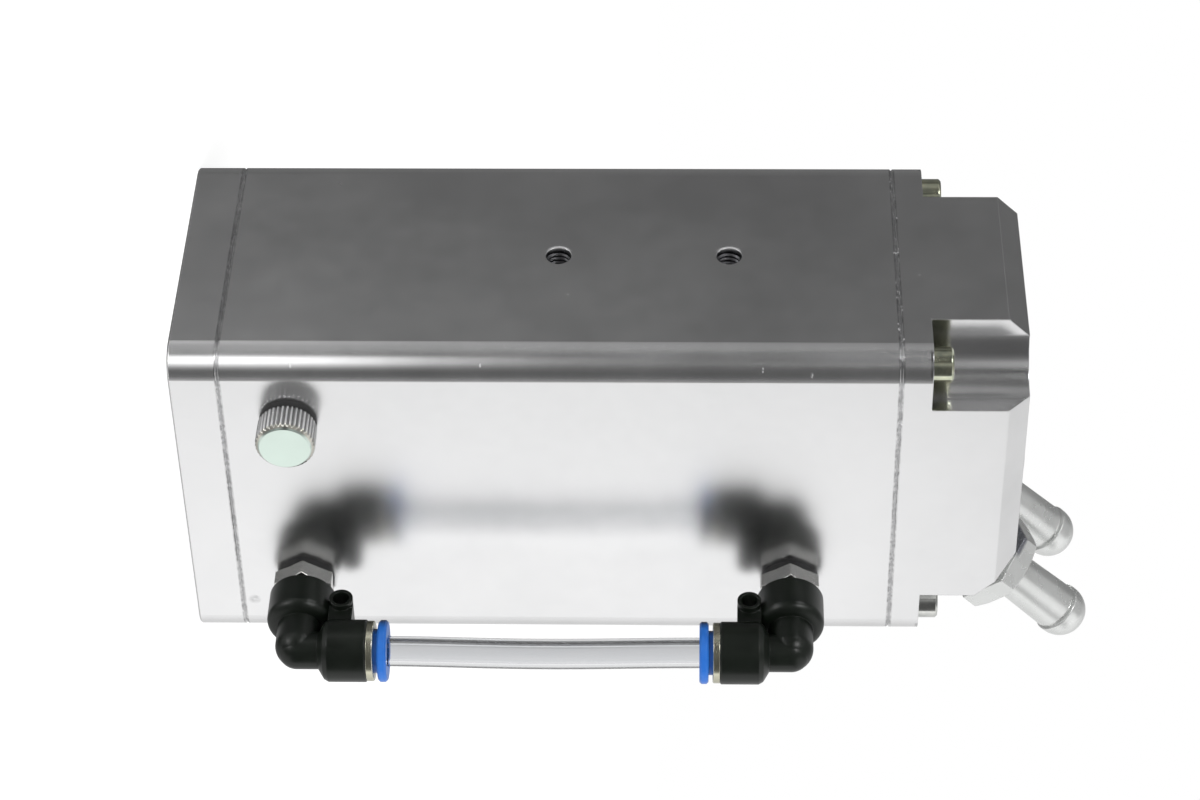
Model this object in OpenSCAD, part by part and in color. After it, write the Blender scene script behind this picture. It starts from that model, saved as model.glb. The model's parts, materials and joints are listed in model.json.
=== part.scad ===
// Oil catch can, standing on its base plate.
// Millimetres. The origin is the centre of the base plate's underside and +Z goes up to the lid.
// The face with the mounting holes is -X, the face with the sight tube is -Y,
// and the bevel with the hose nipples faces +X and +Z.

/* [Can] */
// Height from the underside of the base plate to the top of the lid
can_h = 165; // [150:1:200]
// Width across the face with the sight tube
can_w = 75; // [72:0.5:90]
// Depth across the face with the mounting holes
can_d = 62; // [60:0.5:80]
// Radius of the four long corners
corner_r = 5.5; // [3:0.5:8]
// Small bevel on the edges where the base plate, the body and the lid meet
seam_bevel = 0.3; // [0.2:0.1:0.6]

/* [Body] */
// Thickness of the body wall
wall_t = 6.2; // [5.6:0.1:8]
// Corner radius of the chamber
chamber_r = 16; // [14:0.5:18]
// Width of the rib behind the mounting holes
rib_w = 16; // [10:1:20]
// How far that rib stands into the chamber
rib_t = 3; // [2:0.5:5]

/* [Base plate] */
// Thickness of the base plate
base_t = 9.5; // [8:0.5:14]

/* [Lid] */
// Height of the lid
lid_h = 25; // [24:0.5:32]
// Thickness of the lid under its corner screws
flange_t = 6; // [4:0.5:8]
// Leg of the bevel round the top of the lid
lid_bevel = 4.2; // [2:0.2:6]
// Leg of the large bevel that carries the hose nipples
port_bevel = 20.5; // [18:0.5:22]
// Width of the scoop at each corner screw, measured from either face
scoop_w = 12.4; // [11:0.1:13]
// Radius of the scoop's inner corner
scoop_r = 8.8; // [5:0.1:10]

/* [Cap screws] */
// Distance of each corner screw from both faces
screw_inset = 5.45; // [5:0.05:7]
// Thread diameter of the cap screws
screw_d = 4; // [3:0.5:5]
// Diameter of a screw head
screw_head_d = 7; // [6:0.1:8]
// Height of a screw head
screw_head_h = 4; // [3:0.1:5]
// Width across flats of the hexagon socket
screw_key = 3; // [2:0.1:3.5]
// Length of the lid screws under the head
lid_screw_l = 16; // [12:1:20]
// Length of the base screws under the head
base_screw_l = 14; // [10:1:20]

/* [Seal rings] */
// Width of the seal ring under the lid and of the one on the base plate
seal_w = 2.2; // [1.5:0.1:2.6]
// Thickness of those seal rings
seal_t = 1.6; // [1:0.1:2.5]
// Land between the chamber and a seal ring
seal_land = 1.5; // [1:0.1:2]

/* [Mounting holes] */
// Diameter of the tapped mounting holes
mount_d = 5; // [4:0.1:8]
// Depth of the mounting holes
mount_depth = 7.5; // [5:0.5:8]
// Height of the lower mounting hole
mount_z = 73.9; // [50:0.1:90]
// Distance between the mounting holes
mount_pitch = 33.4; // [25:0.1:50]

/* [Hose nipples] */
// Distance between the nipples
nipple_pitch = 22.6; // [21:0.1:24]
// Height of the nipples above the middle of the bevel
nipple_rise = 0.3; // [0:0.1:1]
// Gap between the bevel and the front nipple's hexagon
front_standoff = 8.6; // [6:0.1:10]
// Gap between the bevel and the rear nipple's hexagon
rear_standoff = 7.4; // [6:0.1:10]
// Turn of the front nipple's hexagon
front_turn = 13; // [0:1:60]
// Turn of the rear nipple's hexagon
rear_turn = 53; // [0:1:60]
// Width across flats of the nipple's hexagon
nipple_af = 18; // [15:0.5:19]
// Height of that hexagon
nipple_hex_h = 4.3; // [3:0.1:6]
// How far the hexagon's corners are taken down at its outer end
nipple_hex_cut = 1.2; // [0.2:0.1:1.3]
// Diameter of the nipple's neck at the hexagon
neck_foot_d = 9.3; // [8.6:0.1:10.4]
// Diameter of the neck at the bead
neck_top_d = 10.1; // [9.6:0.1:10.4]
// Length of the neck
neck_l = 16.6; // [12:0.1:22]
// Diameter of the bead at the nipple's end
bead_d = 10.9; // [10.6:0.1:12]
// Length of the straight part of the bead
bead_land = 1; // [0.6:0.1:3]
// Length of the bead's rounded nose
bead_nose = 4; // [2:0.1:4]
// Diameter of the passage through a nipple
nipple_bore = 6.6; // [5:0.1:7]
// Thread diameter of a nipple
nipple_thread_d = 13; // [12:0.1:13.4]
// Thread length of a nipple
nipple_thread_l = 17; // [15:0.5:18]
// Diameter of the passage through the lid under a nipple
lid_port_d = 9; // [6:0.5:10]

/* [Sight tube] */
// Outer diameter of the tube
tube_d = 6; // [5:0.5:6.5]
// Inner diameter of the tube
tube_bore = 4; // [3:0.5:4.5]
// Distance of the tube's axis from the front face
tube_off = 19.75; // [18:0.25:24]
// Distance of the elbow stems from the side of the can
port_edge = 16; // [15:0.5:20]
// Height of the lower elbow stem
lower_z = 22.55; // [21:0.05:40]
// Distance of the upper elbow stem below the lid
upper_drop = 20.2; // [16:0.1:40]

/* [Elbows] */
// Thread diameter of an elbow stem
stem_thread_d = 9.6; // [8:0.1:10]
// Thread length of an elbow stem
stem_thread_l = 7.5; // [5:0.5:9]
// Thickness of the washer under a stem's hexagon
washer_t = 1.3; // [0.8:0.1:2]
// Diameter of that washer
washer_d = 11.6; // [11:0.1:13]
// Width across flats of a stem's hexagon
stem_af = 11.4; // [10.5:0.1:12]
// Height of that hexagon
stem_hex_h = 3.6; // [3:0.1:5]
// How far the corners of that hexagon are taken down at its outer end
stem_hex_cut = 0.8; // [0.2:0.1:0.8]
// Diameter of the stem inside its elbow
post_d = 8; // [7:0.1:8.5]
// Passage through a stem
stem_bore = 4.4; // [3:0.1:5]
// Outer diameter of the elbow round its stem
stem_barrel_d = 13.3; // [12.6:0.1:14]
// Length of the elbow's straight barrel round the stem
stem_barrel_l = 6.5; // [5:0.1:7]
// Outer diameter of the elbow's bend, under the barrel
bend_d = 8.8; // [8.2:0.1:9.4]
// Outer diameter of the short arm from the bend to the tube barrel
arm_d = 7.4; // [6.8:0.1:8]
// Distance from the tube's axis back to the middle of the bend
bend_lift = 1.2; // [0.6:0.1:1.8]
// Outer diameter of the elbow round the tube
tube_barrel_d = 12.3; // [12:0.1:14]
// Distance from the stem's axis to the start of the tube barrel
tube_barrel_start = 5.5; // [5:0.1:6]
// Distance from the stem's axis to the outer face of the end ring
mouth_l = 15.4; // [14.9:0.1:18]
// Thickness of the end ring's visible flange
end_ring_t = 1.4; // [0.8:0.1:2]
// Distance from the stem's axis to the end of the tube
tube_stop = 5.2; // [4.8:0.1:5.6]
// Outer diameter of the eyelet
eyelet_d = 4.7; // [4.2:0.1:5]
// Hole in the eyelet
eyelet_bore = 3.3; // [2.6:0.1:3.6]
// Length of the eyelet
eyelet_l = 9.4; // [7:0.1:12]
// Distance from the stem's axis to the eyelet
eyelet_out = 8.2; // [7.6:0.1:9]
// Distance from the tube's axis to the eyelet
eyelet_up = 9.9; // [9:0.1:11]

/* [Release rings] */
// Diameter of the blue flange
release_d = 12.2; // [11:0.1:13]
// Thickness of the blue flange
release_t = 1.8; // [1.5:0.1:3]
// Diameter of the blue neck
release_neck_d = 8.7; // [8.4:0.1:9]
// Travel of a release ring when it is pressed
release_travel = 0.5; // [0.4:0.1:1]

/* [Drain screw] */
// Distance of the drain screw from the side of the can
drain_edge = 16.2; // [14.5:0.1:20.5]
// Height of the drain screw
drain_z = 22.3; // [21:0.1:40]
// Diameter of the knurled head
drain_head_d = 11.6; // [10:0.1:14]
// Height of the knurled head
drain_head_h = 6.2; // [5:0.1:9]
// Bevel on the front of the head
drain_bevel = 0.9; // [0.5:0.1:1.5]
// Number of grooves round the head
drain_grooves = 38; // [24:1:48]
// Depth of a groove
groove_depth = 0.45; // [0.2:0.05:0.6]
// Thread diameter of the drain screw
drain_d = 6; // [5:0.5:7]
// Thread length of the drain screw
drain_l = 8; // [7:0.5:9]
// Thickness of the black washer under the head
drain_washer_t = 1.1; // [0.8:0.1:1.6]
// Diameter of that washer
drain_washer_d = 11.2; // [9:0.1:12]

/* [Clearances] */
// Radial clearance of a screw thread in its tapped hole
thread_gap = 0.05; // [0.02:0.01:0.1]
// Radial clearance of a cap screw in the plate that it passes through
shank_gap = 0.25; // [0.1:0.05:0.4]
// Radial clearance of a sliding or turning fit
slide_gap = 0.08; // [0.04:0.01:0.1]
// Gap left between a soft ring and what it touches
seal_gap = 0.02; // [0.01:0.01:0.05]
// Gap left where a moving piece would stop
stop_gap = 0.3; // [0.2:0.05:0.4]

/* [Hidden] */
$fn = 64;
// Overrun of a cut past the surface that it opens
over = 1;
body_h = can_h - base_t - lid_h;
lid_z = base_t + body_h;
screw_x = can_w / 2 - screw_inset;
screw_y = can_d / 2 - screw_inset;
// Depth of the sunk heads in the base plate
sink_depth = screw_head_h + 0.4;
// Extra depth of a tapped hole past the screw's end
tap_extra = 1.5;
// Extra length of a passage, enough to reach the chamber through a rounded corner
reach = wall_t + chamber_r / 2;
// Places on the front face
port_x = can_w / 2 - port_edge;
upper_z = lid_z - upper_drop;
drain_x = can_w / 2 - drain_edge;
// Where the axes of the nipples leave the bevel, and how deep the lid is tapped there
nipple_x = can_w / 2 - port_bevel / 2 - nipple_rise;
nipple_z = can_h - port_bevel / 2 + nipple_rise;
port_tap_l = nipple_thread_l - min(front_standoff, rear_standoff) + 0.8;
// Depth and width of the undercut before the bead
undercut = 0.35;
undercut_w = 0.8;
// Places along an elbow's stem, counted from the can's face
hex_end = washer_t + stem_hex_h;
barrel_gap = 0.1;
barrel_z = hex_end + barrel_gap;
shoulder_z = barrel_z + stem_barrel_l;
shoulder_r = (stem_barrel_d - bend_d) / 2;
post_end = shoulder_z + 1.6;
// Bead on the stem that snaps into the elbow, and the stem's O-ring
snap_z = barrel_z + 1.4;
snap_w = 1;
snap_r = post_d / 2 + 0.5;
stem_cord = 1.1;
stem_ring_z = snap_z + snap_w + 1.6;
stem_ring_r = post_d / 2 - stem_cord / 2 - seal_gap;
// Places along an elbow's tube barrel, counted from the stem's axis
pocket_z = tube_stop + 1.8;
pocket_d = tube_barrel_d - 2;
tube_seal_t = 2;
grip_z = pocket_z + tube_seal_t + 0.1;
grip_t = 1.2;
barrel_end = mouth_l - end_ring_t;
spigot_l = 1.2;
nose_z = grip_z + grip_t + release_travel + stop_gap;
nose_d = release_neck_d + 0.9;
nose_t = barrel_end - spigot_l - stop_gap - nose_z;
flange_gap = release_travel + stop_gap;
// Clearance of the tube in the blue ring and in the elbow
tube_gap = 0.1;

// Flat outline with four round corners
module rounded_plan(w, d, r) {
    square([w - 2 * r, d], center = true);
    square([w, d - 2 * r], center = true);
    for (x = [-1, 1], y = [-1, 1])
        translate([x * (w / 2 - r), y * (d / 2 - r)]) circle(r);
}

// Side view of a block, with a small bevel at its four corners
function edged_profile(w, h, c) = [
    [-w / 2 + c, 0], [w / 2 - c, 0], [w / 2, c], [w / 2, h - c],
    [w / 2 - c, h], [-w / 2 + c, h], [-w / 2, h - c], [-w / 2, c]
];

// Block with the can's outline and a small bevel round its lower and upper edge
module edged_block(h) {
    rotate([90, 0, 0])
        linear_extrude(can_d - 2 * corner_r, center = true)
            polygon(edged_profile(can_w, h, seam_bevel));
    rotate([90, 0, 90])
        linear_extrude(can_w - 2 * corner_r, center = true)
            polygon(edged_profile(can_d, h, seam_bevel));
    for (x = [-1, 1], y = [-1, 1])
        translate([x * (can_w / 2 - corner_r), y * (can_d / 2 - corner_r), 0])
            rotate_extrude()
                polygon([
                    [0, 0], [corner_r - seam_bevel, 0], [corner_r, seam_bevel],
                    [corner_r, h - seam_bevel], [corner_r - seam_bevel, h], [0, h]
                ]);
}

// Outline of the chamber, grown outwards by a margin
module chamber_plan(margin = 0) {
    rounded_plan(can_w - 2 * (wall_t - margin), can_d - 2 * (wall_t - margin), chamber_r + margin);
}

// Flat ring that runs round the chamber
module seal_plan(margin = 0) {
    difference() {
        chamber_plan(seal_land + seal_w + margin);
        chamber_plan(seal_land - margin);
    }
}

// Children on the axis of corner screw n, counted from 0
module at_corner(n) {
    side = [[-1, -1], [1, -1], [1, 1], [-1, 1]][n];
    translate([side[0] * screw_x, side[1] * screw_y, 0]) children();
}

// Plan of the scoop at corner n, counted from 0
module scoop_plan(n) {
    side = [[-1, -1], [1, -1], [1, 1], [-1, 1]][n];
    flat = scoop_w - scoop_r;
    translate([side[0] * can_w / 2, side[1] * can_d / 2])
        rotate((n - 2) * 90) {
            translate([-flat, -flat]) circle(scoop_r);
            translate([-flat, -scoop_w]) square([flat + over, scoop_w + over]);
            translate([-scoop_w, -flat]) square([scoop_w + over, flat + over]);
        }
}

// Children on the front face, with z going out of the face
module on_front(x, z) {
    translate([x, -can_d / 2, z]) rotate([90, 0, 0]) children();
}

// Children on the large bevel, with z going out of it; side -1 is the front nipple
module on_bevel(side) {
    translate([nipple_x, side * nipple_pitch / 2, nipple_z]) rotate([0, 45, 0]) children();
}

// Children where the axes of an elbow's stem and tube cross, with z towards the tube
module at_elbow(upper) {
    translate([port_x, -can_d / 2 - tube_off, upper ? upper_z : lower_z])
        rotate([0, upper ? 180 : 0, 0]) children();
}

// Plain ring with a round section
module cord_ring(r, cord) {
    rotate_extrude() translate([r, 0]) circle(cord / 2, $fn = 32);
}

// Hexagonal prism with its corners taken down by a shallow cone at the outer end
module hexagon(af, h, turn, cut) {
    corner = af / 2 / cos(30);
    rim = corner + 0.1;
    intersection() {
        rotate([0, 0, turn]) cylinder(h = h, r = corner, $fn = 6);
        rotate_extrude()
            polygon([
                [0, 0], [rim, 0], [rim, h - (rim - corner + cut) * tan(30)],
                [corner - cut, h], [0, h]
            ]);
    }
}

// Cut that leaves a 45 degree bevel along the top edge of the lid
module bevel_wedge(half, leg) {
    rotate([90, 0, 0])
        linear_extrude(can_w + can_d, center = true)
            polygon([
                [half - leg - over, lid_h + over],
                [half + over, lid_h - leg - over],
                [half + over, lid_h + over]
            ]);
}

module body_shell() {
    color("silver")
        difference() {
            translate([0, 0, base_t]) edged_block(body_h);
            translate([0, 0, base_t - over])
                linear_extrude(body_h + 2 * over)
                    difference() {
                        chamber_plan();
                        translate([-can_w / 2, -rib_w / 2]) square([wall_t + rib_t, rib_w]);
                    }
            for (n = [0:3]) {
                at_corner(n)
                    translate([0, 0, lid_z - (lid_screw_l - flange_t) - tap_extra])
                        cylinder(h = lid_screw_l, d = screw_d + 2 * thread_gap);
                at_corner(n)
                    translate([0, 0, base_t - over])
                        cylinder(
                            h = base_screw_l - (base_t - sink_depth) + tap_extra + over,
                            d = screw_d + 2 * thread_gap
                        );
            }
            for (z = [mount_z, mount_z + mount_pitch])
                translate([-can_w / 2 - over, 0, z])
                    rotate([0, 90, 0]) cylinder(h = mount_depth + over, d = mount_d);
            for (z = [lower_z, upper_z])
                on_front(port_x, z)
                    translate([0, 0, -reach])
                        cylinder(h = reach + over, d = stem_thread_d + 2 * thread_gap);
            on_front(-drain_x, drain_z)
                translate([0, 0, -reach])
                    cylinder(h = reach + over, d = drain_d + 2 * thread_gap);
        }
}

module base_plate() {
    color("silver")
        difference() {
            edged_block(base_t);
            translate([0, 0, base_t - seal_t])
                linear_extrude(seal_t + over) seal_plan(seal_gap);
            for (n = [0:3]) {
                at_corner(n)
                    translate([0, 0, -over])
                        cylinder(h = base_t + 2 * over, d = screw_d + 2 * shank_gap);
                at_corner(n)
                    translate([0, 0, -over])
                        cylinder(h = sink_depth + over, d = screw_head_d + 2 * shank_gap);
            }
        }
}

module lid() {
    color("silver")
        difference() {
            translate([0, 0, lid_z])
                difference() {
                    edged_block(lid_h);
                    bevel_wedge(can_w / 2, port_bevel);
                    rotate([0, 0, 90]) bevel_wedge(can_d / 2, lid_bevel);
                    rotate([0, 0, 180]) bevel_wedge(can_w / 2, lid_bevel);
                    rotate([0, 0, 270]) bevel_wedge(can_d / 2, lid_bevel);
                    for (n = [0:3]) {
                        translate([0, 0, flange_t]) linear_extrude(lid_h) scoop_plan(n);
                        at_corner(n)
                            translate([0, 0, -over])
                                cylinder(h = flange_t + 2 * over, d = screw_d + 2 * shank_gap);
                    }
                    translate([0, 0, -over])
                        linear_extrude(seal_t + over) seal_plan(seal_gap);
                }
            for (side = [-1, 1])
                on_bevel(side) {
                    translate([0, 0, -2 * lid_h]) cylinder(h = 2 * lid_h, d = lid_port_d);
                    translate([0, 0, -port_tap_l])
                        cylinder(h = port_tap_l + over, d = nipple_thread_d + 2 * thread_gap);
                }
        }
}

module lid_seal_ring() {
    color("dimgray")
        translate([0, 0, lid_z]) linear_extrude(seal_t) seal_plan();
}

module base_seal_ring() {
    color("dimgray")
        translate([0, 0, base_t - seal_t]) linear_extrude(seal_t) seal_plan();
}

// Socket cap screw, with the underside of its head at z = 0 and its thread going down
module cap_screw(l) {
    edge = 0.4;
    difference() {
        rotate_extrude()
            polygon([
                [0, -l], [screw_d / 2 - edge, -l], [screw_d / 2, -l + edge], [screw_d / 2, 0],
                [screw_head_d / 2, 0], [screw_head_d / 2, screw_head_h - edge],
                [screw_head_d / 2 - edge, screw_head_h], [0, screw_head_h]
            ]);
        translate([0, 0, screw_head_h / 2])
            cylinder(h = screw_head_h, r = screw_key / 2 / cos(30), $fn = 6);
    }
}

module lid_screw(n) {
    color("darkkhaki")
        at_corner(n) translate([0, 0, lid_z + flange_t]) cap_screw(lid_screw_l);
}

module base_screw(n) {
    color("darkkhaki")
        at_corner(n) translate([0, 0, sink_depth]) rotate([180, 0, 0]) cap_screw(base_screw_l);
}

// Hose nipple, with the foot of its hexagon at z = 0
module nipple(turn) {
    neck_end = nipple_hex_h + neck_l;
    bead_z = neck_end + undercut_w;
    dome_z = bead_z + bead_land;
    edge = 0.8;
    color("gainsboro")
        difference() {
            union() {
                hexagon(nipple_af, nipple_hex_h, turn, nipple_hex_cut);
                rotate_extrude() {
                    polygon([
                        [0, -nipple_thread_l], [nipple_thread_d / 2 - edge, -nipple_thread_l],
                        [nipple_thread_d / 2, -nipple_thread_l + edge],
                        [nipple_thread_d / 2, nipple_hex_h / 2],
                        [neck_foot_d / 2, nipple_hex_h / 2], [neck_foot_d / 2, nipple_hex_h],
                        [neck_top_d / 2, neck_end], [neck_top_d / 2 - undercut, neck_end],
                        [neck_top_d / 2 - undercut, bead_z - undercut], [bead_d / 2, bead_z],
                        [bead_d / 2, dome_z], [0, dome_z]
                    ]);
                    intersection() {
                        translate([0, dome_z]) circle(bead_d / 2);
                        translate([0, dome_z]) square([bead_d, bead_nose]);
                    }
                }
            }
            translate([0, 0, -nipple_thread_l - over])
                cylinder(h = nipple_thread_l + dome_z + bead_nose + 2 * over, d = nipple_bore);
        }
}

module inlet_nipple() {
    on_bevel(-1) translate([0, 0, front_standoff]) nipple(front_turn);
}

module outlet_nipple() {
    on_bevel(1) translate([0, 0, rear_standoff]) nipple(rear_turn);
}

// Metal stem of an elbow, counted outwards from the can's face
module stem(z) {
    color("lightgray")
        on_front(port_x, z)
            difference() {
                union() {
                    translate([0, 0, washer_t]) hexagon(stem_af, stem_hex_h, 0, stem_hex_cut);
                    rotate_extrude()
                        polygon([
                            [0, -stem_thread_l], [stem_thread_d / 2 - 0.6, -stem_thread_l],
                            [stem_thread_d / 2, -stem_thread_l + 0.6],
                            [stem_thread_d / 2, hex_end - 1], [post_d / 2, hex_end - 1],
                            [post_d / 2, snap_z], [snap_r, snap_z], [snap_r, snap_z + snap_w / 2],
                            [post_d / 2, snap_z + snap_w], [post_d / 2, stem_ring_z - stem_cord / 2],
                            [post_d / 2 - stem_cord, stem_ring_z - stem_cord / 2],
                            [post_d / 2 - stem_cord, stem_ring_z + stem_cord / 2],
                            [post_d / 2, stem_ring_z + stem_cord / 2], [post_d / 2, post_end],
                            [0, post_end]
                        ]);
                }
                translate([0, 0, -stem_thread_l - over])
                    cylinder(h = stem_thread_l + post_end + 2 * over, d = stem_bore);
            }
}

module stem_washer(z) {
    color("black")
        on_front(port_x, z)
            difference() {
                cylinder(h = washer_t, d = washer_d);
                translate([0, 0, -over])
                    cylinder(h = washer_t + 2 * over, d = stem_thread_d + 2 * thread_gap);
            }
}

module stem_o_ring(z) {
    color("black")
        on_front(port_x, z)
            translate([0, 0, stem_ring_z]) cord_ring(stem_ring_r, stem_cord - 2 * seal_gap);
}

// Moulded elbow, drawn with the stem's axis along +Y and the tube's axis along +Z
module elbow(upper) {
    socket_d = post_d + 2 * slide_gap;
    color([0.12, 0.13, 0.12])
        at_elbow(upper)
            difference() {
                union() {
                    translate([0, bend_lift, 0]) sphere(d = bend_d);
                    sphere(d = arm_d);
                    translate([0, tube_off, 0])
                        rotate([90, 0, 0])
                            rotate_extrude() {
                                polygon([
                                    [0, barrel_z], [stem_barrel_d / 2 - 0.4, barrel_z],
                                    [stem_barrel_d / 2, barrel_z + 0.4],
                                    [stem_barrel_d / 2, shoulder_z], [bend_d / 2, shoulder_z],
                                    [bend_d / 2, tube_off - bend_lift], [0, tube_off - bend_lift]
                                ]);
                                intersection() {
                                    translate([bend_d / 2, shoulder_z]) circle(shoulder_r);
                                    translate([bend_d / 2, shoulder_z]) square(shoulder_r);
                                }
                            }
                    rotate_extrude()
                        polygon([
                            [0, 0], [arm_d / 2, 0], [arm_d / 2, tube_barrel_start - 1.2],
                            [tube_barrel_d / 2 - 0.5, tube_barrel_start],
                            [tube_barrel_d / 2, tube_barrel_start + 0.9],
                            [tube_barrel_d / 2, barrel_end - 0.3],
                            [tube_barrel_d / 2 - 0.3, barrel_end], [0, barrel_end]
                        ]);
                    translate([0, eyelet_up, eyelet_out])
                        rotate([0, 90, 0]) cylinder(h = eyelet_l, d = eyelet_d, center = true);
                    translate([-eyelet_l / 2 + 1.2, 0, eyelet_out - eyelet_d / 2])
                        cube([eyelet_l - 2.4, eyelet_up, eyelet_d]);
                }
                translate([0, eyelet_up, eyelet_out])
                    rotate([0, 90, 0])
                        cylinder(h = eyelet_l + 2 * over, d = eyelet_bore, center = true);
                translate([0, tube_off, 0])
                    rotate([90, 0, 0])
                        rotate_extrude()
                            polygon([
                                [0, barrel_z - over], [socket_d / 2, barrel_z - over],
                                [socket_d / 2, snap_z - slide_gap],
                                [snap_r + slide_gap, snap_z - slide_gap],
                                [snap_r + slide_gap, snap_z + snap_w / 2 + slide_gap],
                                [socket_d / 2, snap_z + snap_w + slide_gap],
                                [socket_d / 2, post_end + stop_gap],
                                [stem_bore / 2, post_end + stop_gap], [stem_bore / 2, tube_off],
                                [0, tube_off]
                            ]);
                sphere(d = stem_bore);
                cylinder(h = tube_stop + over, d = stem_bore);
                translate([0, 0, tube_stop]) cylinder(h = pocket_z, d = tube_d + 2 * tube_gap);
                translate([0, 0, pocket_z]) cylinder(h = mouth_l, d = pocket_d);
            }
}

// Metal ring that closes the mouth of an elbow
module end_ring(upper) {
    color("tan")
        at_elbow(upper)
            difference() {
                rotate_extrude()
                    polygon([
                        [0, barrel_end - spigot_l], [pocket_d / 2 - slide_gap, barrel_end - spigot_l],
                        [pocket_d / 2 - slide_gap, barrel_end], [tube_barrel_d / 2 - 0.2, barrel_end],
                        [tube_barrel_d / 2 - 0.2, mouth_l - 0.2], [tube_barrel_d / 2 - 0.4, mouth_l],
                        [0, mouth_l]
                    ]);
                cylinder(h = mouth_l + over, d = release_neck_d + 2 * slide_gap);
            }
}

// Spring ring whose teeth hold the tube
module grip_ring(upper) {
    teeth = 8;
    tip_r = tube_d / 2 + seal_gap;
    rim_r = pocket_d / 2 - slide_gap;
    color("lightsteelblue")
        at_elbow(upper)
            difference() {
                rotate_extrude()
                    polygon([
                        [tip_r, grip_z], [tip_r + 0.5, grip_z], [rim_r - 0.8, grip_z + grip_t - 0.4],
                        [rim_r, grip_z + grip_t - 0.4], [rim_r, grip_z + grip_t],
                        [rim_r - 1, grip_z + grip_t]
                    ]);
                for (a = [0:360 / teeth:359])
                    rotate([0, 0, a])
                        translate([0, -0.2, grip_z - over]) cube([rim_r - 0.9, 0.4, grip_t + 2 * over]);
            }
}

module tube_seal(upper) {
    color("black")
        at_elbow(upper)
            translate([0, 0, pocket_z])
                difference() {
                    cylinder(h = tube_seal_t, d = pocket_d - 2 * seal_gap);
                    translate([0, 0, -over])
                        cylinder(h = tube_seal_t + 2 * over, d = tube_d + 2 * seal_gap);
                }
}

// Blue ring that frees the tube when it is pressed
module release_ring(upper) {
    flange_z = mouth_l + flange_gap;
    color("dodgerblue")
        at_elbow(upper)
            difference() {
                rotate_extrude()
                    polygon([
                        [0, nose_z], [nose_d / 2, nose_z], [nose_d / 2, nose_z + nose_t],
                        [release_neck_d / 2, nose_z + nose_t], [release_neck_d / 2, flange_z],
                        [release_d / 2 - 0.4, flange_z], [release_d / 2, flange_z + 0.4],
                        [release_d / 2, flange_z + release_t - 0.4],
                        [release_d / 2 - 0.4, flange_z + release_t], [0, flange_z + release_t]
                    ]);
                cylinder(h = flange_z + release_t + over, d = tube_d + 2 * tube_gap);
            }
}

module sight_tube() {
    color([0.85, 0.9, 0.95, 0.5])
        translate([port_x, -can_d / 2 - tube_off, lower_z + tube_stop])
            difference() {
                cylinder(h = upper_z - lower_z - 2 * tube_stop, d = tube_d);
                translate([0, 0, -over])
                    cylinder(h = upper_z - lower_z, d = tube_bore);
            }
}

module drain_screw() {
    head_z = drain_washer_t + seal_gap;
    color("gainsboro")
        on_front(-drain_x, drain_z)
            difference() {
                rotate_extrude()
                    polygon([
                        [0, -drain_l], [drain_d / 2 - 0.6, -drain_l], [drain_d / 2, -drain_l + 0.6],
                        [drain_d / 2, head_z], [drain_head_d / 2 - 0.4, head_z],
                        [drain_head_d / 2, head_z + 0.4],
                        [drain_head_d / 2, head_z + drain_head_h - drain_bevel],
                        [drain_head_d / 2 - drain_bevel, head_z + drain_head_h],
                        [0, head_z + drain_head_h]
                    ]);
                for (n = [0:drain_grooves - 1])
                    rotate([0, 0, n * 360 / drain_grooves])
                        translate([drain_head_d / 2, 0, head_z - over])
                            rotate([0, 0, 45])
                                translate([-groove_depth / sqrt(2), -groove_depth / sqrt(2), 0])
                                    cube([groove_depth * sqrt(2), groove_depth * sqrt(2),
                                          drain_head_h + 2 * over]);
            }
}

module drain_washer() {
    color("black")
        on_front(-drain_x, drain_z)
            difference() {
                cylinder(h = drain_washer_t, d = drain_washer_d);
                translate([0, 0, -over])
                    cylinder(h = drain_washer_t + 2 * over, d = drain_d + 2 * slide_gap);
            }
}

body_shell();
base_plate();
lid();
lid_seal_ring();
base_seal_ring();
lid_screw(0);  // lid_screw_1
lid_screw(1);  // lid_screw_2
lid_screw(2);  // lid_screw_3
lid_screw(3);  // lid_screw_4
base_screw(0);  // base_screw_1
base_screw(1);  // base_screw_2
base_screw(2);  // base_screw_3
base_screw(3);  // base_screw_4
inlet_nipple();
outlet_nipple();
stem(lower_z);  // lower_stem
stem(upper_z);  // upper_stem
stem_washer(lower_z);  // lower_stem_washer
stem_washer(upper_z);  // upper_stem_washer
stem_o_ring(lower_z);  // lower_stem_o_ring
stem_o_ring(upper_z);  // upper_stem_o_ring
elbow(false);  // lower_elbow
elbow(true);  // upper_elbow
end_ring(false);  // lower_end_ring
end_ring(true);  // upper_end_ring
grip_ring(false);  // lower_grip_ring
grip_ring(true);  // upper_grip_ring
tube_seal(false);  // lower_tube_seal
tube_seal(true);  // upper_tube_seal
release_ring(false);  // lower_release_ring
release_ring(true);  // upper_release_ring
sight_tube();
drain_screw();
drain_washer();
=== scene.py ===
"""Oil catch can: materials, a few fine pieces, studio and camera, in metres in the row frame."""
import json
import math

import bpy
from mathutils import Matrix, Vector


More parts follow.
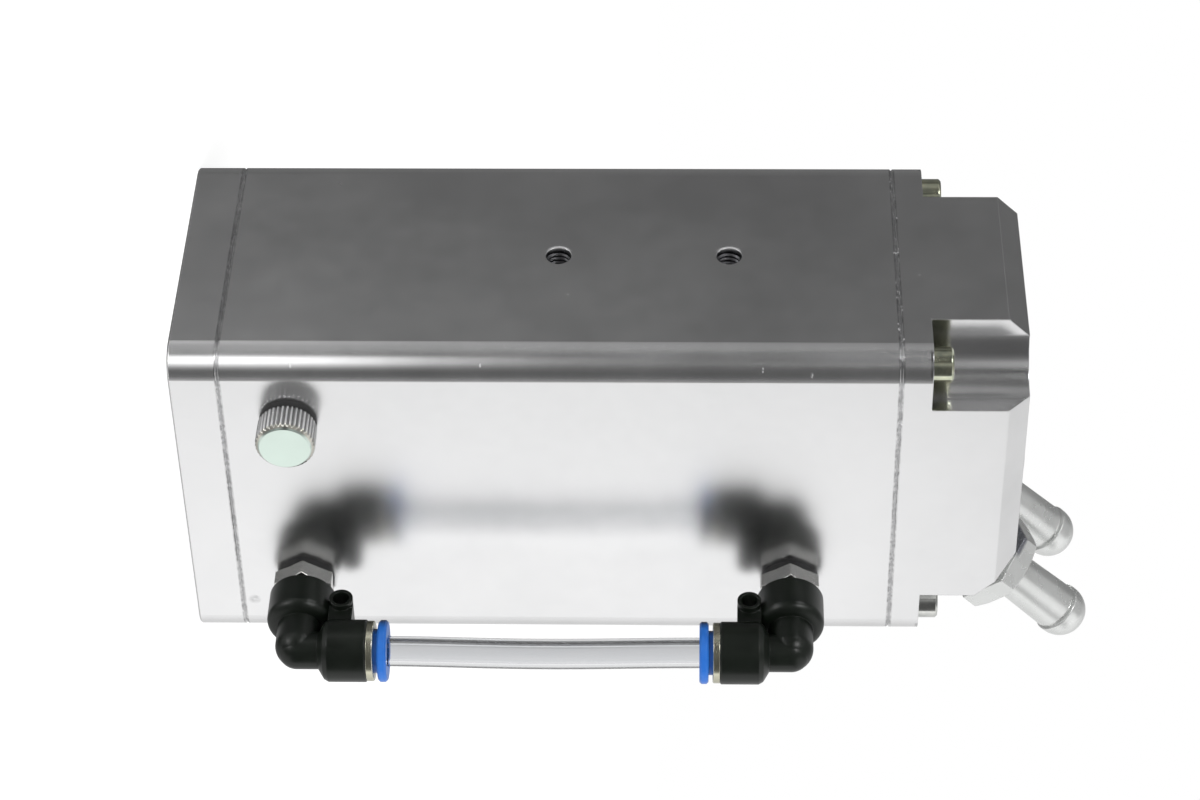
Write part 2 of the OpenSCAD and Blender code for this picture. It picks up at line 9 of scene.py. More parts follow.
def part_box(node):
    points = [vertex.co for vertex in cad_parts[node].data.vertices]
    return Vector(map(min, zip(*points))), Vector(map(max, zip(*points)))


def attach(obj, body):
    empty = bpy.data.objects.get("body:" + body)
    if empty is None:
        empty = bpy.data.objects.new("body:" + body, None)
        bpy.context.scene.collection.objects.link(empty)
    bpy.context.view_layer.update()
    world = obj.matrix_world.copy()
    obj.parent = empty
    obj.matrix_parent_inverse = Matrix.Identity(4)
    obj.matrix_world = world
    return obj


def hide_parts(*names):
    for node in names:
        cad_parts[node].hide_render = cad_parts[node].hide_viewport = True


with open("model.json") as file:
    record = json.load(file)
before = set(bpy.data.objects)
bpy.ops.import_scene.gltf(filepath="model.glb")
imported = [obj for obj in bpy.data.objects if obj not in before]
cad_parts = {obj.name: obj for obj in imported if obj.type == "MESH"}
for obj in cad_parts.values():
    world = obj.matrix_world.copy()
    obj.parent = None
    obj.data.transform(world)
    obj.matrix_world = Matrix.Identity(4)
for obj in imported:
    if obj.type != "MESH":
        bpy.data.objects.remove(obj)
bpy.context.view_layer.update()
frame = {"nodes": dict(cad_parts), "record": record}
nodes = frame["nodes"]
scene = bpy.context.scene
scene.view_settings.view_transform = "Standard"

# Sizes of the solids that the materials follow, in metres.
MM = 0.001
HALF_W, HALF_D = 0.0375, 0.031
SEAMS_Z = (0.0095, 0.14)
HOLES_Z = (0.0739, 0.1073)
HOLE_R = 0.0025
SCOOP_LOW, SCOOP_TOP = 0.1453, 0.1499
KNOB_X, KNOB_Z, KNOB_FRONT = -0.0213, 0.0223, -0.038
KNOB_GROOVES = 38

# Camera, fitted to the photograph
right = Vector((0.01632, 0.02394, 0.99958)).normalized()
back = Vector((-0.67242, -0.73961, 0.02870))
back = (back - right * back.dot(right)).normalized()
up = back.cross(right)
cam_data = bpy.data.cameras.new("camera")
cam_data.sensor_fit = "HORIZONTAL"
cam_data.sensor_width = 36
cam_data.lens = 102.86
cam_data.clip_start, cam_data.clip_end = 0.01, 20
cam = bpy.data.objects.new("camera", cam_data)
place = Matrix((right, up, back)).transposed().to_4x4()
place.translation = Vector((-0.4682, -0.5157, 0.1014))
cam.matrix_world = place
scene.collection.objects.link(cam)
scene.camera = cam


# Node helpers

class Nodes:
    """A material's or world's node tree, filled by short calls."""

    def __init__(self, tree):
        self.tree = tree
        tree.nodes.clear()

    def add(self, kind, inputs=None, **settings):
        n = self.tree.nodes.new(kind)
        for k, v in settings.items():
            setattr(n, k, v)
        for k, v in (inputs or {}).items():
            self.put(n.inputs[k], v)
        return n

    def put(self, socket, value):
        if isinstance(value, bpy.types.NodeSocket):
            self.tree.links.new(value, socket)
        else:
            socket.default_value = value

    def math(self, op, a, b=0.0, clamp=False):
        return self.add("ShaderNodeMath", {0: a, 1: b}, operation=op, use_clamp=clamp).outputs[0]

    def mix(self, fac, a, b, blend="MIX"):
        n = self.add("ShaderNodeMix", data_type="RGBA", blend_type=blend)
        for s, v in ((n.inputs[0], fac), (n.inputs[6], a), (n.inputs[7], b)):
            self.put(s, v)
        return n.outputs[2]

    def xyz(self, vector=None):
        """The x, y and z of a vector, or of the object coordinates in metres."""
        return self.add("ShaderNodeSeparateXYZ", {
            "Vector": self.stretched((1, 1, 1)) if vector is None else vector}).outputs

    def length(self, vector):
        return self.add("ShaderNodeVectorMath", {0: vector}, operation="LENGTH").outputs["Value"]

    def ramp(self, fac, stops):
        n = self.add("ShaderNodeValToRGB", {"Fac": fac})
        e = n.color_ramp.elements
        while len(e) < len(stops):
            e.new(0.5)
        for el, (position, _) in zip(e, stops):
            el.position = position
        for el, (_, value) in zip(e, stops):
            el.color = (*value, 1) if isinstance(value, tuple) else (value, value, value, 1)
        return n.outputs["Color"]

    def spread(self, fac, low, high, to_low=0.0, to_high=1.0):
        n = self.add("ShaderNodeMapRange", {
            "Value": fac, "From Min": low, "From Max": high, "To Min": to_low, "To Max": to_high})
        return n.outputs["Result"]

    def noise(self, vector, scale, detail=2.0, rough=0.5):
        return self.add("ShaderNodeTexNoise", {
            "Vector": vector, "Scale": scale, "Detail": detail, "Roughness": rough}).outputs["Fac"]

    def stretched(self, scale, rotation=(0, 0, 0), shift=(0, 0, 0)):
        """Object coordinates in metres, turned and then scaled."""
        t = self.add("ShaderNodeTexCoord").outputs["Object"]
        m = self.add("ShaderNodeMapping", {
            "Vector": t, "Rotation": rotation, "Location": shift}, vector_type="POINT")
        return self.add("ShaderNodeVectorMath", {0: m.outputs[0], 1: scale},
                        operation="MULTIPLY").outputs[0]


def material(name, colour):
    m = bpy.data.materials.new(name)
    m.use_nodes = True
    m.diffuse_color = (*colour, 1)
    n = Nodes(m.node_tree)
    shader = n.add("ShaderNodeBsdfPrincipled")
    n.add("ShaderNodeOutputMaterial", {"Surface": shader.outputs[0]})
    return m, n, shader


def bevel_normal(n, radius):
    return n.add("ShaderNodeBevel", {"Radius": radius}, samples=8).outputs[0]


def edge_mask(n, normal, low, high):
    """1 on edges, where the rounded normal leaves the flat one."""
    true = n.add("ShaderNodeNewGeometry").outputs["Normal"]
    dot = n.add("ShaderNodeVectorMath", {0: normal, 1: true}, operation="DOT_PRODUCT")
    return n.spread(dot.outputs["Value"], high, low)


def bump(n, height, strength, distance, normal=None):
    inputs = {"Height": height, "Strength": strength, "Distance": distance}
    if normal is not None:
        inputs["Normal"] = normal
    return n.add("ShaderNodeBump", inputs).outputs[0]


# Materials of the slots

def from_holes(n, y, z):
    """Distance from the nearer axis of the two mounting holes."""
    far = []
    for centre in HOLES_Z:
        off = n.add("ShaderNodeCombineXYZ", {"Y": y, "Z": n.math("SUBTRACT", z, centre)})
        far.append(n.length(off.outputs[0]))
    return n.math("MINIMUM", *far)


def holes(n):
    """1 inside the two mounting holes of the -X face, where painted shade darkens their walls."""
    x, y, z = n.xyz()
    inside = n.spread(from_holes(n, y, z), HOLE_R + 0.00022, HOLE_R)
    inside = n.math("MULTIPLY", inside, n.spread(x, -HALF_W + 0.00005, -HALF_W + 0.0004), True)
    return n.math("MULTIPLY", inside, n.spread(x, 0, -0.02), True)


def painted_rim_highlight(n):
    """1 on the +Y side of the two mounting holes' rims, for a painted highlight there."""
    x, y, z = n.xyz()
    far = from_holes(n, y, z)
    rim = n.math("MULTIPLY", n.spread(far, HOLE_R + 0.0006, HOLE_R + 0.0002),
                 n.spread(far, HOLE_R - 0.0002, HOLE_R + 0.00005), True)
    rim = n.math("MULTIPLY", rim, n.spread(y, 0.0012, 0.0024), True)
    rim = n.math("MULTIPLY", rim, n.spread(x, -HALF_W + 0.0009, -HALF_W + 0.0004), True)
    return n.math("MULTIPLY", rim, 0.75)


def nicks(n, scale, radius):
    """1 in sparse round spots, each in another place of its cell."""
    far = n.add("ShaderNodeTexVoronoi", {"Vector": n.stretched((1, 1, 1)), "Scale": scale,
                                         "Randomness": 1.0}).outputs["Distance"]
    return n.spread(far, radius * scale, radius * scale * 0.3)


def mark(n, at, radius, squash=(1, 1, 1)):
    """1 in one spot, given in millimetres, and narrower where squash is more than 1."""
    off = n.add("ShaderNodeVectorMath", {0: n.stretched((1, 1, 1)), 1: [-v * MM for v in at]},
                operation="ADD").outputs[0]
    off = n.add("ShaderNodeVectorMath", {0: off, 1: squash}, operation="MULTIPLY").outputs[0]
    return n.spread(n.length(off), radius * MM, radius * 0.4 * MM)


# Small nicks worn to the metal on the near edge: place and radius in mm.
EDGE_NICKS = (((-35.2, -29.9, 23.7), 0.5), ((-35.3, -29.9, 59.9), 0.4),
              ((-34.7, -30.3, 113.6), 0.45), ((-33.8, -30.7, 122.9), 0.55),
              ((-17.4, -31, 139.7), 0.6))


def satin_can():
    """Satin billet aluminium: a very fine brush along the can, soft clouds and worn edges."""
    m, n, s = material("can_aluminium", (0.8, 0.8, 0.81))
    plain = n.stretched((1, 1, 1))
    x, y, z = n.xyz(plain)
    grain = n.noise(n.stretched((1, 1, 0.05)), 5200, 3, 0.6)
    cloud = n.noise(plain, 42, 3, 0.55)
    mottle = n.noise(plain, 190, 4, 0.6)
    fine = n.noise(plain, 900, 2, 0.6)
    smudge = n.noise(n.stretched((1, 1, 0.5), shift=(0.3, 0.1, 0.7)), 75, 4, 0.7)
    smudge = n.spread(smudge, 0.7, 0.82)
    nick = nicks(n, 48, 0.0004)
    # Dirt in the two seams, and painted shade in the mounting holes and beside the screw heads in
    # the lid's scoops.
    seam = n.math("MINIMUM", *[n.math("ABSOLUTE", n.math("SUBTRACT", z, at)) for at in SEAMS_Z])
    seam = n.ramp(n.spread(seam, 0, 0.0007), [(0, 0.15), (0.25, 0.25), (0.42, 0.62), (0.6, 0.6),
                                              (0.85, 0.12), (1.0, 0)])
    fleck = n.math("MULTIPLY", n.spread(seam, 0.1, 0.2), n.spread(fine, 0.64, 0.7), True)
    fleck = n.math("MULTIPLY", fleck, n.spread(z, 0.05, 0.1, 0.25, 1.0))
    seam = n.math("MULTIPLY", seam, n.spread(fine, 0.35, 0.6, 1.0, 0.35))
    across, deep = n.math("ABSOLUTE", x), n.math("ABSOLUTE", y)
    inner = n.math("MULTIPLY", n.spread(across, HALF_W - 0.0002, HALF_W - 0.0004),
                   n.spread(deep, HALF_D - 0.0001, HALF_D - 0.0003), True)
    outer = n.math("MULTIPLY", n.spread(across, 0.0248, 0.025), n.spread(deep, 0.0183, 0.0185),
                   True)
    milled = n.math("MULTIPLY", n.math("MULTIPLY", inner, outer, True),
                    n.spread(z, SCOOP_LOW, SCOOP_LOW + 0.0003))
    scoop = n.math("MULTIPLY", milled, n.spread(z, SCOOP_TOP, SCOOP_TOP - 0.0011))
    # Painted shade inside the mounting holes.
    dirt_and_shade = n.math("MULTIPLY", holes(n), 0.82)
    dirt_and_shade = n.math("MAXIMUM", dirt_and_shade, seam)
    # Painted shade beside the screw heads in the lid's scoops.
    dirt_and_shade = n.math("MAXIMUM", dirt_and_shade, n.math("MULTIPLY", scoop, 0.32))
    spot = n.math("MULTIPLY", mark(n, (27.3, -31, 11.8), 1.4), n.spread(mottle, 0.35, 0.6))
    dirt_and_shade = n.math("MAXIMUM", dirt_and_shade, n.math("MULTIPLY", spot, 0.5))
    # Bare metal at the nicks and a few fine specks, and a painted highlight on the rims of the
    # mounting holes.
    bare_and_glint = mark(n, (-37.5, -5.5, 144.3), 0.3)
    for at, radius in EDGE_NICKS:
        bare_and_glint = n.math("MAXIMUM", bare_and_glint, mark(n, at, radius, (0.7, 0.7, 1.9)))
    bare_and_glint = n.math("MULTIPLY", bare_and_glint, n.spread(n.noise(plain, 2600), 0.36, 0.56), True)
    bare_and_glint = n.math("MAXIMUM", bare_and_glint, n.math("MULTIPLY", fleck, 0.6))
    speck = n.math("MULTIPLY", nicks(n, 150, 0.0002), n.spread(mottle, 0.48, 0.56), True)
    bare_and_glint = n.math("MAXIMUM", bare_and_glint, n.math("MULTIPLY", speck, 0.6))
    # Painted highlight on the holes' rims, where metallic is taken down.
    bare_and_glint = n.math("MAXIMUM", bare_and_glint, painted_rim_highlight(n))
    edge = bevel_normal(n, 0.0002)
    mask = n.math("MULTIPLY", edge_mask(n, edge, 0.93, 0.999), n.spread(fine, 0.46, 0.66), True)
    blend = n.math("ADD", n.math("MULTIPLY", cloud, 0.7), n.math("MULTIPLY", mottle, 0.3))
    tone = n.mix(n.spread(blend, 0.34, 0.66), (0.75, 0.751, 0.755, 1),
                 (0.825, 0.825, 0.829, 1))
    tone = n.mix(n.math("MULTIPLY", smudge, 0.15), tone, (0.45, 0.45, 0.45, 1))
    tone = n.mix(n.math("MULTIPLY", nick, 0.2), tone, (0.5, 0.5, 0.5, 1))
    tone = n.mix(n.math("MULTIPLY", mask, 0.15), tone, (0.93, 0.93, 0.94, 1))
    n.put(s.inputs["Metallic"], n.spread(bare_and_glint, 0, 1, 1.0, 0.35))
    n.put(s.inputs["Base Color"], n.mix(dirt_and_shade, tone, (0.07, 0.07, 0.075, 1)))
    r = n.spread(n.math("ADD", n.math("MULTIPLY", blend, 0.8), n.math("MULTIPLY", grain, 0.2)),
                 0.3, 0.7, 0.23, 0.275)
    r = n.math("ADD", r, n.math("MULTIPLY", smudge, 0.04))
    n.put(s.inputs["Roughness"], n.math("SUBTRACT", r, n.math("MULTIPLY", milled, 0.07)))
    height = n.math("SUBTRACT", n.math("MULTIPLY", grain, 0.03), n.math("MULTIPLY", nick, 0.8))
    n.put(s.inputs["Normal"], bump(n, height, 1.0, 0.00003, edge))
    return m


def knurled(n, front):
    """The drain screw's tone: pale ridges and grooves darkened with painted shade, a pale rim and
    the greenish flat front.
    """
    x, y, z = n.xyz()
    angle = n.math("ARCTAN2", n.math("SUBTRACT", z, KNOB_Z), n.math("SUBTRACT", x, KNOB_X))
    wave = n.math("COSINE", n.math("MULTIPLY", angle, KNOB_GROOVES))
    # Painted shade in the knurl's grooves, with pale ridges between them.
    side = n.mix(n.spread(wave, 0.8, -0.4), (0.26, 0.26, 0.265, 1), (0.86, 0.86, 0.86, 1))
    side = n.mix(n.spread(y, KNOB_FRONT + 0.0009, KNOB_FRONT + 0.0005), side, (0.6, 0.59, 0.53, 1))
    return n.mix(n.spread(y, KNOB_FRONT, KNOB_FRONT - 0.00015), side, front)


def painted_hex_shade(n, tone):
    """The nipples' tone, with painted shade on the bevel behind the front nipple's hexagon."""
    x, y, z = n.xyz()
    along = n.math("ADD", x, z)
    behind = n.math("MULTIPLY", n.spread(along, 0.1958, 0.195), n.spread(along, 0.1936, 0.1939),
                    True)
    behind = n.math("MULTIPLY", behind, n.spread(n.math("ABSOLUTE", n.math("ADD", y, 0.0095)),
                                                 0.0075, 0.0065), True)
    return n.mix(n.math("MULTIPLY", behind, 0.8), tone, (0.1, 0.105, 0.14, 1))


def turned(name, low, high, rough, rotation, edge_r=0.00018, metallic=1.0, worn=0.45, groove=0.16):
    """Turned metal, with fine rings across its own axis, which the rotation brings onto z."""
    m, n, s = material(name, high)
    s.inputs["Metallic"].default_value = metallic
    rings = n.noise(n.stretched((0.02, 0.02, 1), rotation), 3800, 2, 0.6)
    cloud = n.noise(n.stretched((1, 1, 1)), 160, 3, 0.55)
    edge = bevel_normal(n, edge_r)
    tone = n.mix(n.spread(cloud, 0.3, 0.7), (*low, 1), (*high, 1))
    if name == "drain_screw_metal":
        tone = knurled(n, tone)
    tone = n.mix(n.math("MULTIPLY", edge_mask(n, edge, 0.9, 0.999), worn), tone,
                 (0.95, 0.95, 0.93, 1))
    if name == "nipple_aluminium":
        # Painted shade behind the front nipple's hexagon.
        tone = painted_hex_shade(n, tone)
    n.put(s.inputs["Base Color"], tone)
    n.put(s.inputs["Roughness"], n.spread(cloud, 0.3, 0.7, rough - 0.03, rough + 0.04))
    n.put(s.inputs["Normal"], bump(n, rings, groove, 0.00002, edge))
    return m


def zinc(name, tints):
    """Zinc plate, cloudy between three tints."""
    m, n, s = material(name, tints[1])
    cloud = n.noise(n.stretched((1, 1, 1)), 320, 3, 0.6)
    edge = bevel_normal(n, 0.0002)
    s.inputs["Metallic"].default_value = 1
    tone = n.ramp(cloud, list(zip((0.3, 0.5, 0.7), tints)))
    n.put(s.inputs["Base Color"], n.mix(n.math("MULTIPLY", edge_mask(n, edge, 0.9, 0.999), 0.4),
                                        tone, (0.88, 0.88, 0.8, 1)))
    n.put(s.inputs["Roughness"], n.spread(cloud, 0.3, 0.7, 0.12, 0.2))
    n.put(s.inputs["Normal"], bump(n, n.noise(n.stretched((1, 1, 1)), 2600, 2), 0.1, 0.00003, edge))
    return m


def plastic(name, low, high, rough, bumps=0.12, spec=0.5, shade_can_side=False):
    """Moulded plastic; where asked, the side turned to the can is darkened with painted shade."""
    m, n, s = material(name, high)
    cloud = n.noise(n.stretched((1, 1, 1)), 210, 3, 0.55)
    grain = n.noise(n.stretched((1, 1, 1)), 3600, 3, 0.6)
    edge = bevel_normal(n, 0.0003)
    s.inputs["Specular IOR Level"].default_value = spec
    tone = n.mix(n.spread(cloud, 0.3, 0.7), (*low, 1), (*high, 1))
    if shade_can_side:
        y = n.xyz(n.add("ShaderNodeTexCoord").outputs["Normal"])["Y"]
        # Painted shade on the side turned to the can.
        tone = n.mix(n.spread(y, 0.1, 0.55, 0, 0.85), tone, (0.01, 0.012, 0.02, 1))
    n.put(s.inputs["Base Color"], tone)
    n.put(s.inputs["Roughness"], n.spread(cloud, 0.3, 0.7, rough - 0.04, rough + 0.05))
    n.put(s.inputs["Normal"], bump(n, grain, bumps, 0.00004, edge))
    return m


def clear():
    """Clear polyurethane tube."""
    m, n, s = material("clear_tube", (0.9, 0.92, 0.94))
    cloud = n.noise(n.stretched((1, 1, 0.2)), 500, 2, 0.5)
    s.inputs["Transmission Weight"].default_value = 1
    s.inputs["IOR"].default_value = 1.42
    n.put(s.inputs["Base Color"], n.mix(n.spread(cloud, 0.3, 0.7), (0.955, 0.965, 0.98, 1),
                                        (0.985, 0.99, 1, 1)))
    n.put(s.inputs["Roughness"], n.spread(cloud, 0.3, 0.7, 0.02, 0.06))
    return m


along_bevel = (0, -math.pi / 4, 0)
out_of_face = (math.pi / 2, 0, 0)
slots = {
    "can_aluminium": satin_can(),
    "nipple_aluminium": turned("nipple_aluminium", (0.66, 0.67, 0.66), (0.72, 0.73, 0.72), 0.27,
                               along_bevel, edge_r=0.0003, metallic=0.75, groove=0.3),
    "yellow_zinc_steel": zinc("yellow_zinc_steel", ((0.44, 0.48, 0.39), (0.62, 0.64, 0.49),
                                                    (0.74, 0.73, 0.54))),
    "nickel_brass": turned("nickel_brass", (0.6, 0.6, 0.59), (0.68, 0.675, 0.65), 0.2,
                           out_of_face, edge_r=0.00015, worn=0.1),
    "spring_steel": turned("spring_steel", (0.55, 0.55, 0.57), (0.63, 0.63, 0.65), 0.25, (0, 0, 0)),
    "seal_rubber": plastic("seal_rubber", (0.018, 0.018, 0.018), (0.03, 0.03, 0.03),
                           0.6, bumps=0.25, spec=0.3),
    "black_plastic": plastic("black_plastic", (0.0035, 0.005, 0.0035), (0.006, 0.0086, 0.006),
                             0.32, bumps=0.1, spec=0.3),
    "blue_plastic": plastic("blue_plastic", (0.014, 0.125, 0.5), (0.022, 0.16, 0.57), 0.32,
                            bumps=0.08, spec=0.35, shade_can_side=True),
    "clear_tube": clear(),
    "drain_screw_metal": turned("drain_screw_metal", (0.59, 0.69, 0.63), (0.65, 0.75, 0.69),
                                0.2, out_of_face),
}
end_ring = turned("end_ring", (0.54, 0.53, 0.42), (0.64, 0.62, 0.49), 0.24, (0, 0, 0))
white_zinc = zinc("white_zinc_steel", ((0.5, 0.51, 0.5), (0.62, 0.63, 0.61), (0.7, 0.7, 0.67)))
# The threads inside the mounting holes, darkened with painted shade.
thread_painted_shade = turned("thread_painted_shade", (0.1, 0.1, 0.105), (0.2, 0.2, 0.21), 0.4, (0, 0, 0))


def dress(obj, mat):
    if not obj.material_slots:
        obj.data.materials.append(mat)
    for s in obj.material_slots:
        s.link = "OBJECT"
        s.material = mat


for part in frame["record"]["subparts"]:
    name = part["node"]
    mat = slots[part["material_slot"]]
    if name.endswith("end_ring"):
        mat = end_ring
    elif name in ("lid_screw_2", "base_screw_3"):
        mat = white_zinc
    dress(nodes[name], mat)


# Fine pieces that the solids lack

def mesh_object(name, verts, faces):
    me = bpy.data.meshes.new(name)
    me.from_pydata(verts, [], faces)
    ob = bpy.data.objects.new(name, me)
    scene.collection.objects.link(ob)
    return ob


def mesh_piece(name, verts, faces, slot, body="can", smooth=True):
    ob = mesh_object(name, verts, faces)
    ob.data.validate()
    if smooth:
        ob.data.shade_smooth()
    ob.data.materials.append(slots[slot])
    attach(ob, body)
    return ob


def bowed_tube():
    """The sight tube, bowed by 0.6 mm between its two elbows as it is in the photograph."""
    lo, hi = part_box("sight_tube")
    cx, cy = (lo.x + hi.x) / 2, (lo.y + hi.y) / 2
    steps, around = 72, 64
    bow, held = 0.6 * MM, 10 * MM
    outside, bore = 3 * MM, 2 * MM
    rings = []
    for i in range(steps + 1):
        z = lo.z + (hi.z - lo.z) * i / steps
        t = min(max((z - lo.z - held) / (hi.z - lo.z - 2 * held), 0), 1)
        rings.append((cx + bow * math.sin(math.pi * t) ** 2, z))
    verts, faces = [], []
    for r in (outside, bore):
        for x, z in rings:
            for k in range(around):
                a = 2 * math.pi * k / around
                verts.append((x + r * math.cos(a), cy + r * math.sin(a), z))
    inner = (steps + 1) * around
    for i in range(steps):
        for k in range(around):
            a, b = i * around + k, i * around + (k + 1) % around
            faces.append((a, b, b + around, a + around))
            faces.append((inner + b, inner + a, inner + a + around, inner + b + around))
    top = steps * around
    for k in range(around):
        b = (k + 1) % around
        faces.append((b, k, inner + k, inner + b))
        faces.append((top + k, top + b, inner + top + b, inner + top + k))
    ob = mesh_piece("bowed_sight_tube", verts, faces, "clear_tube")
    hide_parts("sight_tube")


def thread(name, origin, axis, root, crest, pitch, length, slot):
    """A helical ridge round a shank, or inside a hole where the crest is the smaller radius."""
    around = 40
    turn = Vector(axis).to_track_quat("Z", "Y").to_matrix()
    count = int(length / pitch * around)
    half, flat = pitch * 0.46, pitch * 0.07
    verts, faces = [], []
    for i in range(count + 1):
        a, z = 2 * math.pi * i / around, pitch * i / around
        fade = min(1, i / (0.5 * around), (count - i) / (0.5 * around))
        peak = root + (crest - root) * fade
        for r, dz in ((root, -half), (peak, -flat), (peak, flat), (root, half)):
            p = Vector((r * math.cos(a), r * math.sin(a), z + dz))
            verts.append(tuple(Vector(origin) + turn @ p))
    for i in range(count):
        for k in range(3):
            q = (4 * i + k, 4 * i + k + 1, 4 * i + k + 5, 4 * i + k + 4)
            faces.append(q if crest < root else q[::-1])
    return mesh_piece(name, verts, faces, slot, smooth=False)


bowed_tube()
slope = Vector((1, 0, 1)).normalized()
for label, y, gap in (("inlet", -11.3, 8.6), ("outlet", 11.3, 7.4)):
    foot = Vector((26.95, y, 155.05)) * MM + slope * 0.45 * MM
    thread(f"{label}_thread", foot, slope, 6.46 * MM, 6.95 * MM, 1.4 * MM, (gap - 1.3) * MM,
           "nipple_aluminium")
for label, z in zip(("lower", "upper"), HOLES_Z):
    ridge = thread(f"{label}_mounting_thread", Vector((-36.7 * MM, 0, z)), (1, 0, 0), 2.53 * MM,
                   2.2 * MM, 1.0 * MM, 5.4 * MM, "can_aluminium")
    dress(ridge, thread_painted_shade)


# Floor, studio and lamps

def sheet(name, verts, faces):
    ob = mesh_object(name, verts, faces)
    return ob


def glow(name):
    m = bpy.data.materials.new(name)
    m.use_nodes = True
    return m, Nodes(m.node_tree)


floor = sheet("floor", [(-6, -6, 0), (6, -6, 0), (6, 6, 0), (-6, 6, 0)], [(0, 1, 2, 3)])
m, n = glow("floor_white")
both = n.add("ShaderNodeAddShader", {
    0: n.add("ShaderNodeBsdfDiffuse", {"Color": (0.4, 0.4, 0.4, 1)}).outputs[0],
    1: n.add("ShaderNodeEmission", {"Color": (1, 1, 1, 1), "Strength": 0.74}).outputs[0]})
n.add("ShaderNodeOutputMaterial", {"Surface": both.outputs[0]})
floor.data.materials.append(m)
floor.visible_glossy = floor.visible_transmission = False

# The studio round the object, seen only in the metal, the plastic and the clear tube: white
# behind the sight tube's face, dim behind the mounting holes' face, with soft boxes round it.
STUDIO_R = 1.6
# Soft boxes: azimuth, elevation, brightness, and where the edge starts and ends, in degrees.
SOFT_BOXES = ((196, -43, 7, 7, 11), (199, 30, 12, 7, 11), (220, -22, 0.5, 8, 13),
              (315, 20, 0.75, 8, 14))
around, rows = 72, 36
verts, faces = [], []
for i in range(rows + 1):
    el = math.pi * (i / rows - 0.5)
    for k in range(around):
        a = 2 * math.pi * k / around
        verts.append((STUDIO_R * math.cos(el) * math.cos(a),
                      STUDIO_R * math.cos(el) * math.sin(a), STUDIO_R * math.sin(el)))
for i in range(rows):
    for k in range(around):
        j = (k + 1) % around
        faces.append((i * around + k, i * around + j, (i + 1) * around + j, (i + 1) * around + k))
studio = sheet("studio", verts, faces)
studio.location = (0, 0, 0.08)
m, n = glow("studio")


def azimuth_of(n, x, y):
    """0 at +X, 0.25 at +Y, 0.5 at -X and 0.75 at -Y."""
    turn = n.math("ARCTAN2", n.math("MULTIPLY", y, -1.0), n.math("MULTIPLY", x, -1.0))
    return n.spread(turn, -math.pi, math.pi)


def sky(n, azimuth, stops):
    """Brightness round the horizon, from pairs of degrees and brightness, on two ramps."""
    stops = [(az / 360, value) for az, value in stops]
    half = len(stops) // 2
    return n.mix(n.math("GREATER_THAN", azimuth, stops[half][0]),
                 n.ramp(azimuth, stops[:half + 1]), n.ramp(azimuth, stops[half:]))


where = n.add("ShaderNodeTexCoord").outputs["Object"]
x, y, z = n.xyz(where)
azimuth = azimuth_of(n, x, y)
far_side = [(0, 0.75), (20, 0.8), (32, 0.74), (44, 0.64), (49, 0.58), (54, 0.22), (59, 0.15),
            (100, 0.17), (122, 0.14), (128, 0.11)]
front = [(303, 0.25), (307, 0.85), (310, 1.48), (313, 1.42), (316, 1.2), (320, 1.05), (330, 0.95),
         (345, 0.85), (360, 0.75)]
level = sky(n, azimuth, far_side + [
    (132, 0.07), (136, 0.1), (139, 0.3), (145, 0.36), (151, 0.32), (160, 0.34), (168, 0.35),
    (176, 0.3), (184, 0.2), (190, 0.14), (198, 0.1), (210, 0.08), (226, 0.08), (240, 0.12),
    (256, 0.12), (272, 0.1), (298, 0.14)] + front)
low = sky(n, azimuth, far_side + [
    (132, 0.05), (136, 0.1), (139, 0.85), (144, 0.75), (148, 0.6), (155, 0.48), (165, 0.42),
    (178, 0.4), (188, 0.36), (197, 0.3), (207, 0.2), (240, 0.14), (256, 0.12), (272, 0.1),
    (284, 0.11), (298, 0.15)] + front)
lid = sky(n, azimuth, far_side + [
    (132, 0.08), (136, 0.12), (141, 0.2), (150, 0.26), (160, 0.3), (167, 0.25), (176, 0.11),
    (188, 0.11), (195, 0.2), (201, 0.22), (207, 0.1), (212, 0.09), (217, 0.26), (223, 0.48),
    (232, 0.5), (238, 0.27), (245, 0.15), (254, 0.09), (288, 0.1), (298, 0.16)] + front)
high = sky(n, azimuth, [
    (0, 0.8), (12, 0.76), (25, 0.66), (50, 0.4), (66, 0.17), (92, 0.11), (112, 0.13), (124, 0.35),
    (138, 0.7), (160, 0.9), (205, 0.9), (222, 0.33), (252, 0.33), (264, 1.0), (300, 1.2),
    (345, 0.95), (360, 0.85)])
below = sky(n, azimuth, [
    (0, 0.6), (20, 0.5), (50, 0.3), (70, 0.14), (92, 0.1), (106, 0.14), (116, 0.35), (134, 0.65),
    (160, 0.85), (205, 0.85), (220, 0.25), (262, 0.25), (275, 0.8), (300, 1.0), (335, 0.85),
    (360, 0.6)])
fade = n.ramp(n.spread(z, -0.29, -0.0115), [
    (0, 1.0), (0.11, 0.86), (0.19, 0.7), (0.28, 0.54), (0.38, 0.35), (0.5, 0.2), (0.62, 0.125),
    (0.75, 0.07), (0.87, 0.03), (1.0, 0.0)])
tone = n.mix(fade, level, low)
tone = n.mix(n.spread(z, 0.15, 0.18), tone, lid)
tone = n.mix(n.spread(z, 0.45, 0.95), tone, high)
tone = n.mix(n.spread(z, 1.42, 1.5), tone, (0.36, 0.36, 0.36, 1))
tone = n.mix(n.spread(z, -0.45, -0.95), tone, below)
for az, el, power, inner, outer in SOFT_BOXES:
    a, e = math.radians(az), math.radians(el)
    towards = Vector((math.cos(e) * math.cos(a), math.cos(e) * math.sin(a), math.sin(e)))
    near = n.add("ShaderNodeVectorMath", {0: where, 1: towards / STUDIO_R},
                 operation="DOT_PRODUCT")
    box = n.spread(near.outputs["Value"], math.cos(math.radians(outer)),
                   math.cos(math.radians(inner)))
    tone = n.mix(box, tone, (power, power, power, 1))
n.add("ShaderNodeOutputMaterial", {
    "Surface": n.add("ShaderNodeEmission", {"Color": tone, "Strength": 1.0}).outputs[0]})
studio.data.materials.append(m)

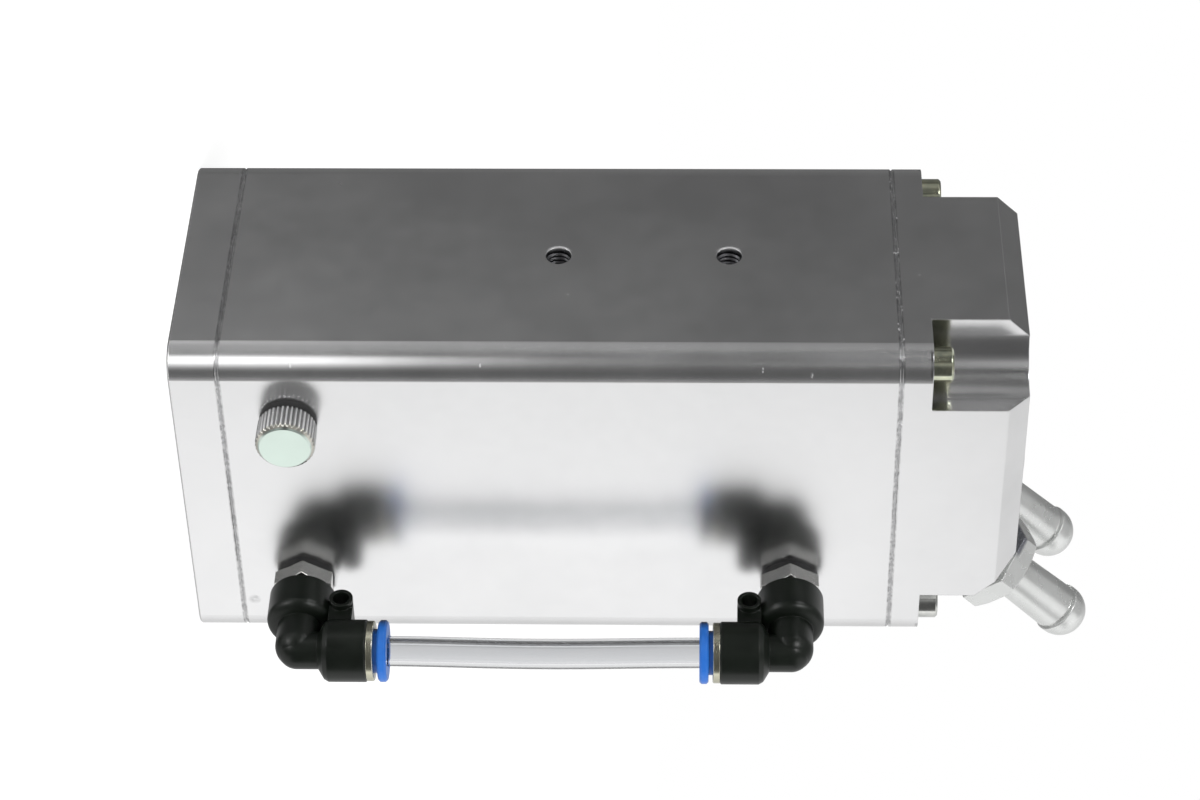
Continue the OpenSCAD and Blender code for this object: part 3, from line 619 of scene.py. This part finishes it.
# A soft strip round the near edge, which lights its lower half and fades up the can.
STRIP_R, STRIP_LOW, STRIP_TOP, STRIP_FADE = 0.02, -0.08, 0.14, 0.0608
steps = 36
verts, faces = [], []
for i in range(steps + 1):
    a = math.radians(192 + 2 * i)
    x, y = STRIP_R * math.cos(a), STRIP_R * math.sin(a)
    verts += [(x, y, STRIP_LOW), (x, y, STRIP_TOP)]
for i in range(steps):
    faces.append((2 * i, 2 * i + 2, 2 * i + 3, 2 * i + 1))
strip = sheet("strip", verts, faces)
strip.location = (-HALF_W + 0.005, -HALF_D + 0.005, 0)
m, n = glow("strip")
x, y, z = n.xyz(n.add("ShaderNodeTexCoord").outputs["Object"])
bright = sky(n, azimuth_of(n, x, y), [
    (0, 0), (202, 0), (205, 0.3), (209, 1.0), (212, 1.55), (232, 1.55), (237, 0.75), (243, 0.6),
    (247, 0.25), (253, 0.1), (260, 0), (360, 0)])
height = n.math("MAXIMUM", n.math("DIVIDE", n.math("ADD", z, 0.02), STRIP_FADE), 0.0)
fade = n.math("DIVIDE", 0.945, n.math("ADD", n.math("POWER", height, 5.0), 1.0))
n.add("ShaderNodeOutputMaterial", {"Surface": n.add("ShaderNodeAddShader", {
    0: n.add("ShaderNodeBsdfTransparent").outputs[0],
    1: n.add("ShaderNodeEmission", {"Color": bright, "Strength": fade}).outputs[0]}).outputs[0]})
strip.data.materials.append(m)
strip.visible_transmission = False
for piece in (studio, strip):
    for flag in ("visible_camera", "visible_diffuse", "visible_shadow", "visible_volume_scatter"):
        setattr(piece, flag, False)

world = bpy.data.worlds.new("world")
scene.world = world
world.use_nodes = True
n = Nodes(world.node_tree)
path = n.add("ShaderNodeLightPath").outputs
seen = n.math("ADD", n.math("ADD", path["Is Camera Ray"], path["Is Glossy Ray"]),
              path["Is Transmission Ray"], True)
strength = n.spread(seen, 0, 1, 0.72, 1.0)
white = n.add("ShaderNodeBackground", {"Color": (1, 1, 1, 1), "Strength": strength})
n.add("ShaderNodeOutputWorld", {"Surface": white.outputs[0]})


def lamp(name, at_point, to_point, size, watts):
    d = bpy.data.lights.new(name, "AREA")
    d.shape, d.size, d.energy = "DISK", size, watts
    ob = bpy.data.objects.new(name, d)
    ob.location = at_point
    ob.rotation_euler = (Vector(to_point) - Vector(at_point)).to_track_quat("-Z", "Y").to_euler()
    scene.collection.objects.link(ob)
    ob.visible_glossy = False


lamp("key", (-0.5, -1.2, 0.9), (0, 0, 0.08), 0.6, 9)
lamp("fill", (1.2, -0.6, 0.5), (0, 0, 0.08), 0.8, 5)
